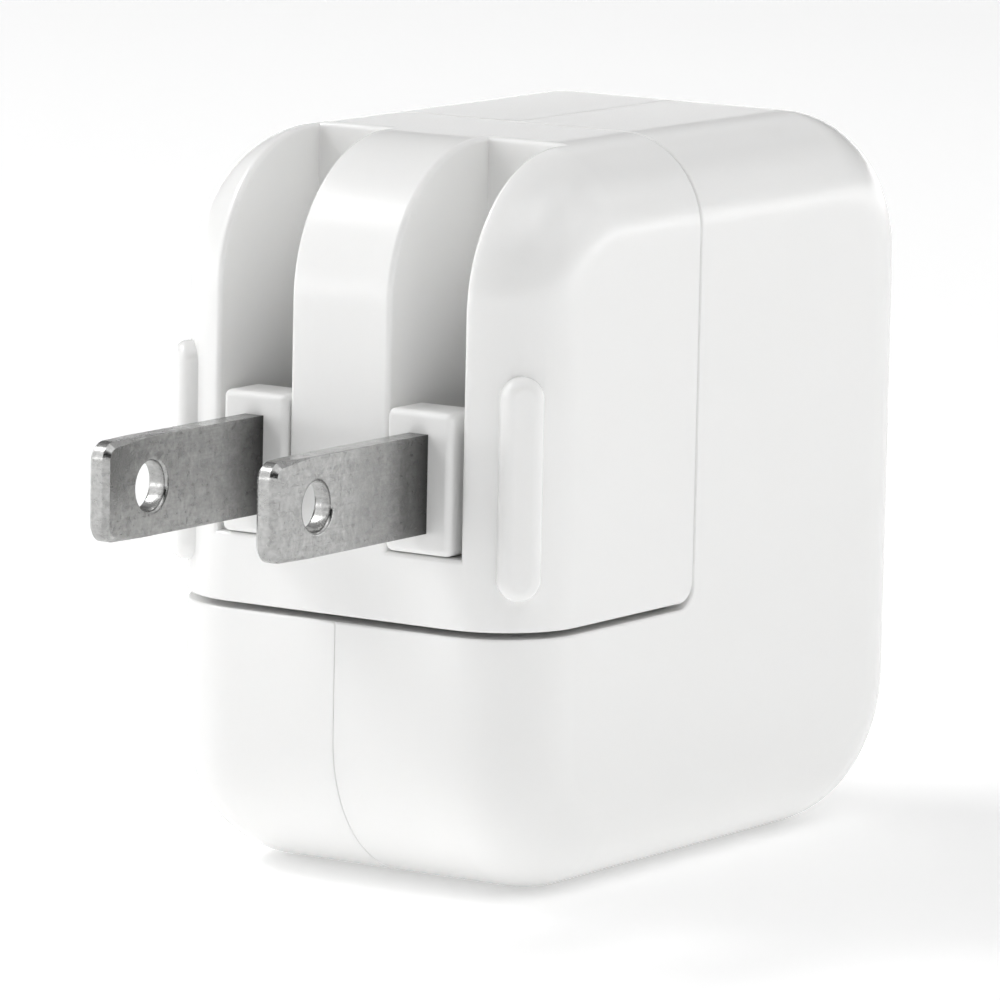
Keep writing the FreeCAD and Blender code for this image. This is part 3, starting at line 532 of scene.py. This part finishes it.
def makeBlade(name):
    side = sideOf(name)
    blade = bladeForm(side)
    x0 = side * bladeMiddle - bladeThickness / 2
    tip = bladeLow.y
    faces = (x0, x0 + bladeThickness)
    reach = tip + bladeShape["tipRadius"] + 2 * touch
    onFaces = [edge for edge in blade.edges if any(liesAt(edge, 0, x) for x in faces)
               and edge.calc_face_angle(0) > 1]
    bevelEdges(blade, [edge for edge in onFaces if max(edge.verts[0].co.y, edge.verts[1].co.y) < reach],
               bladeShape["bevel"], 1)
    long = [edge for edge in blade.edges if any(liesAt(edge, 0, x) for x in faces) and runsAlong(edge, 1)
            and edge.calc_face_angle(0) > 1 and min(edge.verts[0].co.y, edge.verts[1].co.y) < front
            and edge.calc_length() > 5]
    bevelEdges(blade, long, bladeShape["edgeRadius"], 2)
    level = bladeBottom + bladeShape["width"] / 2
    hole = Vector((x0 - overlap, tip + bladeShape["holeInset"], level))
    blade = combine(blade, rodForm(bladeShape["holeRadius"], hole, (1, 0, 0), bladeThickness + 2 * overlap,
                                   bladeShape["holeSteps"]))
    rims = [edge for edge in blade.edges if any(liesAt(edge, 0, x) for x in faces)
            and all(abs((corner.co - Vector((corner.co.x, hole.y, hole.z))).length - bladeShape["holeRadius"])
                    < 2 * touch for corner in edge.verts)]
    bevelEdges(blade, rims, bladeShape["coin"], 3)
    finishPiece(name + "_strip", blade, bladeMetal, "folding_blades", "plated_brass", name)


def makeCarrier():
    # one barrel across the module and a soft-edged block round each blade's root
    barrel, gap = carrierShape["barrel"], carrierShape["gap"]
    carrier = rodForm(barrel, (carrierLow.x, pivot.y, pivot.z), (1, 0, 0), carrierHigh.x - carrierLow.x)
    floor = pivot.z - barrel + carrierShape["lift"]
    web = carrierShape["web"]
    for side in (-1, 1):
        x0 = side * bladeMiddle - carrierShape["blockWidth"] / 2
        x1 = side * bladeMiddle + carrierShape["blockWidth"] / 2
        block = boxForm((x0, carrierLow.y, floor), (x1, blockBack, carrierHigh.z),
                        carrierShape["blockRadius"], carrierShape["blockSteps"])
        carrier = combine(carrier, block, "UNION")
        neckFront = blockBack - 2 * carrierShape["blockRadius"]
        neck = boxForm((x0, neckFront, pivot.z - web), (x1, pivot.y, pivot.z + web))
        carrier = combine(carrier, neck, "UNION")
        carrier = combine(carrier, bladeForm(side))
        tailStart = (side * bladeMiddle - bladeThickness / 2, pivot.y, pivot.z)
        carrier = combine(carrier, rodForm(barrel + gap, tailStart, (1, 0, 0), bladeThickness))
    finishPiece("blade_carrier_moulding", carrier, made["satinWhiteNylon"], "folding_blades", "white_shell",
                "blade_carrier")


makeBlade("blade_left")
makeBlade("blade_right")
makeCarrier()
print("folding blades made")


# Plug module shell: two open slots with trays behind them, and a grip rib on each front edge
slotShape = {"lipRadius": 0.35, "nearGap": 0.1, "farGap": 0.6, "foldGap": 0.225, "swingGap": 0.4, "tray": 1.4,
             "trayLap": 0.05, "relief": 0.3, "reliefFront": 0.5, "pocketClear": 0.1}
ribShape = {"low": 20.0, "high": 34.3, "width": 2.8, "proud": 1.1, "radius": 0.85, "root": 2.0, "steps": 40,
             "turn": 45}
slotInner = bladeMiddle - carrierShape["blockWidth"] / 2 - slotShape["nearGap"]
slotOuter = bladeMiddle + carrierShape["blockWidth"] / 2 + slotShape["farGap"]
slotFloor = pivot.z - carrierShape["barrel"] - carrierShape["gap"]
slotBack = pivot.y + bladeHigh.z - pivot.z + slotShape["foldGap"]
trayBack = pivot.y + carrierHigh.z - pivot.z + slotShape["swingGap"]
blockSwing = math.hypot(pivot.y - carrierLow.y, carrierHigh.z - pivot.z)
pocketTop = (pivot.z + math.sqrt(blockSwing ** 2 - (slotBack - pivot.y) ** 2)
             + slotShape["swingGap"] + slotShape["pocketClear"])


def sidedBox(side, x0, x1, y0, y1, z0, z1):
    low, high = sorted((side * x0, side * x1))
    return boxForm((low, y0, z0), (high, y1, z1))


def inTheSlots(edge):
    beside = any(liesAt(edge, 0, side * x) for side in (-1, 1) for x in (slotInner, slotOuter))
    return beside or liesAt(edge, 2, slotFloor) or liesAt(edge, 1, slotBack)


def onModuleLips(edge):
    middle = (edge.verts[0].co + edge.verts[1].co) / 2
    reach = caseShape["notchRadius"]
    inCorner = abs(middle.y - moduleHigh.y) < reach and abs(middle.z - moduleLow.z) < reach
    return liesAt(edge, 2, moduleLow.z) or liesAt(edge, 1, moduleHigh.y) or inCorner


def gripRib(side):
    # a round-ended ridge, stood on the corner at 45 degrees
    rib = bmesh.new()
    half = ribShape["width"] / 2
    turn = Matrix.Rotation(math.radians(90), 4, "X") @ Matrix.Rotation(math.pi / ribShape["steps"], 4, "Z")
    bmesh.ops.create_circle(rib, cap_ends=True, radius=half, segments=ribShape["steps"], matrix=turn)
    upper = [corner for corner in rib.verts if corner.co.z > 0]
    bmesh.ops.translate(rib, vec=(0, 0, ribShape["high"] - ribShape["low"] - 2 * half), verts=upper)
    root = caseShape["sideRadius"] - ribShape["root"]
    crest = caseShape["sideRadius"] + ribShape["proud"]
    bmesh.ops.translate(rib, vec=(0, -root, ribShape["low"] + half), verts=rib.verts)
    grown = bmesh.ops.extrude_face_region(rib, geom=list(rib.faces))["geom"]
    bmesh.ops.translate(rib, vec=(0, root - crest, 0),
                        verts=[corner for corner in grown if isinstance(corner, bmesh.types.BMVert)])
    bmesh.ops.recalc_face_normals(rib, faces=rib.faces)
    bevelEdges(rib, [edge for edge in rib.edges if liesAt(edge, 1, -crest)], ribShape["radius"], 6)
    centre = Vector((side * (halfWidth - caseShape["sideRadius"]), front + caseShape["sideRadius"], 0))
    stand = Matrix.Translation(centre) @ Matrix.Rotation(math.radians(side * ribShape["turn"]), 4, "Z")
    bmesh.ops.transform(rib, matrix=stand, verts=rib.verts)
    return rib


def makePlugShell():
    shell = combine(caseForm(0), cornerSpace(moduleHigh.y, moduleLow.z, caseShape["notchRadius"]
                                             - caseShape["backGap"]), "INTERSECT")
    for side in (-1, 1):
        shell = combine(shell, sidedBox(side, slotInner, slotOuter, front - 5, slotBack, slotFloor, top + 5))
    bevelEdges(shell, sharpLips(shell, inTheSlots), slotShape["lipRadius"], 4)
    bevelEdges(shell, sharpLips(shell, onModuleLips), caseShape["lipRadius"], 3)
    for side in (-1, 1):
        shell = combine(shell, gripRib(side), "UNION")
    tray = slotShape["tray"]
    behindWall = cornerSpace(moduleHigh.y + overlap, moduleLow.z - overlap, 0)
    cavity = combine(caseForm(caseShape["moduleWall"]), behindWall, "INTERSECT")
    for side in (-1, 1):
        cavity = combine(cavity, sidedBox(side, slotInner - tray, slotOuter + tray, front + 1, trayBack,
                                          slotFloor - tray, top - 1))
    shell = combine(shell, cavity)
    lap = slotShape["trayLap"]
    radius = carrierShape["barrel"] + carrierShape["gap"]
    reliefFront = pivot.y - carrierShape["barrel"] - slotShape["reliefFront"]
    for side in (-1, 1):
        shell = combine(shell, sidedBox(side, slotInner, slotOuter, front + overlap, trayBack + overlap,
                                        slotFloor, pocketTop))
        shell = combine(shell, sidedBox(side, slotInner, slotOuter, reliefFront, trayBack + overlap,
                                        slotFloor - slotShape["relief"], slotFloor + overlap))
        for near in (slotInner - tray, slotOuter):
            start = (min(side * near, side * (near + tray)) - lap, pivot.y, pivot.z)
            shell = combine(shell, rodForm(radius, start, (1, 0, 0), tray + 2 * lap, bladeShape["tailSteps"]))
            shell = combine(shell, sidedBox(side, near - lap, near + tray + lap, pivot.y, trayBack + overlap,
                                            pivot.z - radius, pivot.z + radius))
    finishPiece("plug_module_shell", shell, whitePlastic, "plug_module", "white_shell", "plug_shell")


makePlugShell()
print("plug module made")


# Turned and plated steel and brass pieces between body and module
studShape = {"neck": 1.8, "headThickness": 1.3, "flangeThickness": 0.8, "rounding": 0.3}
pinShape = {"radius": 1.2, "steps": 48, "nose": 0.7, "tabWidth": 2.0, "tabThickness": 0.7}


def makeLockStud():
    low, high = nodeBox("lock_stud")
    head, neck = high.x, studShape["neck"]
    length = high.y - low.y
    shoulder, flange = studShape["headThickness"], length - studShape["flangeThickness"]
    stud = turnedForm([(0, 0), (head, 0), (head, shoulder), (neck, shoulder), (neck, flange), (head, flange),
                       (head, length), (0, length)], (0, low.y, (low.z + high.z) / 2), (0, 1, 0))
    bevelEdges(stud, sharpLips(stud, lambda edge: liesAt(edge, 1, low.y)), studShape["rounding"], 4)
    finishPiece("lock_stud_turned", stud, made["drawnNickelledSteel"], "charger_body", "bright_steel",
                "lock_stud")


def makeInletPin(name):
    low, high = nodeBox(name)
    middle = sideOf(name) * (nodeBox("inlet_pin_right")[1].x - pinShape["radius"])
    inletY = (low.y + high.y) / 2
    pin = rodForm(pinShape["radius"], (middle, inletY, low.z), (0, 0, 1), high.z - low.z, pinShape["steps"])
    bevelEdges(pin, sharpLips(pin, lambda edge: liesAt(edge, 2, high.z)), pinShape["nose"], 6)
    tab = boxForm((low.x, inletY - pinShape["tabWidth"] / 2, low.z),
                  (middle, inletY + pinShape["tabWidth"] / 2, low.z + pinShape["tabThickness"]))
    pin = combine(pin, tab, "UNION")
    finishPiece(name + "_turned", pin, pinMetal, "charger_body", "plated_brass", name)


def smoothCopy(name, body):
    # the CAD piece's own surface, merged and shaded smooth
    copied = bmesh.new()
    copied.from_mesh(nodes[name].data)
    bmesh.ops.scale(copied, vec=(1 / mm, 1 / mm, 1 / mm), verts=copied.verts)
    bmesh.ops.remove_doubles(copied, verts=copied.verts, dist=merge)
    bmesh.ops.dissolve_limit(copied, angle_limit=flatEnough, verts=copied.verts, edges=copied.edges)
    slotName = slotOfNode[name]
    finishPiece(name + "_smooth", copied, finishOfSlot[slotName], body, slotName, name)


makeLockStud()
makeInletPin("inlet_pin_left")
makeInletPin("inlet_pin_right")
for name in ("inlet_cup", "usb_shell", "usb_tongue"):
    smoothCopy(name, "charger_body")
for name in ("lock_channel", "plug_back_cover", "socket_block", "pivot_retainer"):
    smoothCopy(name, "plug_module")
print("connecting pieces made")


# Camera
view = {"azimuth": 33.49, "elevation": 8.69, "roll": 1.18, "distance": 549.3, "lens": 297.9,
        "aside": -2.427, "above": 22.308}


def placeCamera():
    azimuth, elevation, roll = (math.radians(view[key]) for key in ("azimuth", "elevation", "roll"))
    backward = Vector((math.sin(azimuth) * math.cos(elevation), -math.cos(azimuth) * math.cos(elevation),
                       math.sin(elevation)))
    level = Vector((math.cos(azimuth), math.sin(azimuth), 0))
    rise = backward.cross(level)
    right = level * math.cos(roll) + rise * math.sin(roll)
    up = rise * math.cos(roll) - level * math.sin(roll)
    place = (right * view["aside"] + up * view["above"] + backward * view["distance"]) * mm
    camera = bpy.data.objects.new("camera", bpy.data.cameras.new("camera"))
    camera.data.lens = view["lens"]
    camera.data.clip_start = 0.01
    camera.matrix_world = Matrix.Translation(place) @ Matrix((right, up, backward)).transposed().to_4x4()
    bpy.context.scene.collection.objects.link(camera)
    bpy.context.scene.camera = camera


placeCamera()

# Studio: a pale matt floor and a low wall round it, under large soft lights, in metres;
# only the paper's fibre is in millimetres
studio = {"floorHalf": 6.0, "floorColour": "#FFFFFF", "fibreColour": "#FCFCFC", "fibre": 1.1,
          "glow": 0.2, "farGlow": 1.0, "glowStart": 0.6, "glowEnd": 2.2, "wallHeight": 0.3, "wallRadius": 2.6}
lamps = {
    # name: azimuth, elevation, distance, width, height, watts
    "overheadBox": (0, 84, 1.6, 2.6, 2.6, 9),
    "leftBox": (-45, 14, 1.2, 1.0, 1.0, 4.4),
    "keyBox": (-75, 44, 1.2, 0.4, 0.22, 3.6),
    "stripBox": (-53, 44, 1.2, 0.5, 0.22, 1.1),
    "leftSideBox": (-90, 30, 1.2, 1.0, 1.0, 1.3),
    "rightRearBox": (132, 20, 1.2, 1.0, 1.0, 1.9),
    "rightHighBox": (100, 50, 1.2, 1.0, 1.0, 3),
    "topRightBox": (55, 60, 1.2, 0.7, 0.7, 1.6),
    "rearBox": (180, 40, 1.6, 2.0, 1.0, 3.5),
    "rearLeftBox": (-135, 25, 1.2, 1.0, 1.0, 0.6),
}


def makeFloor():
    shape = bmesh.new()
    bmesh.ops.create_grid(shape, x_segments=1, y_segments=1, size=studio["floorHalf"])
    floor = draftPiece(shape, "floor")
    material, tree = newMaterial("mattWhitePaper")
    place = addNode(tree, "ShaderNodeTexCoord").outputs["Object"]
    fibre = addNode(tree, "ShaderNodeTexNoise", {"Scale": 1 / (studio["fibre"] * mm), "Detail": 2.0},
                    {"Vector": place})
    colour = addNode(tree, "ShaderNodeMix", {"data_type": "RGBA", 6: linearColour(studio["floorColour"]),
                                             7: linearColour(studio["fibreColour"])},
                     {0: fibre.outputs["Fac"]}).outputs[2]
    # the paper glows a little by itself, more strongly further out, so it stays white to its edge
    reach = addNode(tree, "ShaderNodeVectorMath", {"operation": "LENGTH"}, {0: place})
    glow = addNode(tree, "ShaderNodeMapRange",
                   {"From Min": studio["glowStart"], "From Max": studio["glowEnd"], "To Min": studio["glow"],
                    "To Max": studio["farGlow"]}, {"Value": reach.outputs["Value"]})
    finishMaterial(material, tree, {"Roughness": 0.75, "Emission Color": (1, 1, 1, 1)},
                   {"Base Color": colour, "Emission Strength": glow.outputs["Result"]})
    wallShape = bmesh.new()
    radius, height = studio["wallRadius"], studio["wallHeight"]
    bmesh.ops.create_cone(wallShape, segments=96, radius1=radius, radius2=radius, depth=height,
                          matrix=Matrix.Translation((0, 0, height / 2)))
    wall = draftPiece(wallShape, "lowBackdrop")
    for stagePiece in (floor, wall):
        stagePiece.data.materials.append(material)


def softBox(name, azimuth, elevation, distance, width, height, watts):
    lamp = bpy.data.lights.new(name, "AREA")
    lamp.shape = "RECTANGLE"
    lamp.size = width
    lamp.size_y = height
    lamp.energy = watts
    aside, lift = math.radians(azimuth), math.radians(elevation)
    outwards = Vector((math.sin(aside) * math.cos(lift), -math.cos(aside) * math.cos(lift), math.sin(lift)))
    box = bpy.data.objects.new(name, lamp)
    box.location = Vector((0, 0, top / 2 * mm)) + outwards * distance
    box.rotation_euler = outwards.to_track_quat("Z", "Y").to_euler()
    bpy.context.scene.collection.objects.link(box)


makeFloor()
for name, values in lamps.items():
    softBox(name, *values)
world = bpy.data.worlds.new("studio")
world.use_nodes = True
world.node_tree.nodes["Background"].inputs["Strength"].default_value = 0
world.node_tree.nodes["Background"].inputs["Color"].default_value = (1, 1, 1, 1)
bpy.context.scene.world = world
bpy.context.scene.view_settings.view_transform = "Standard"
print("studio set")
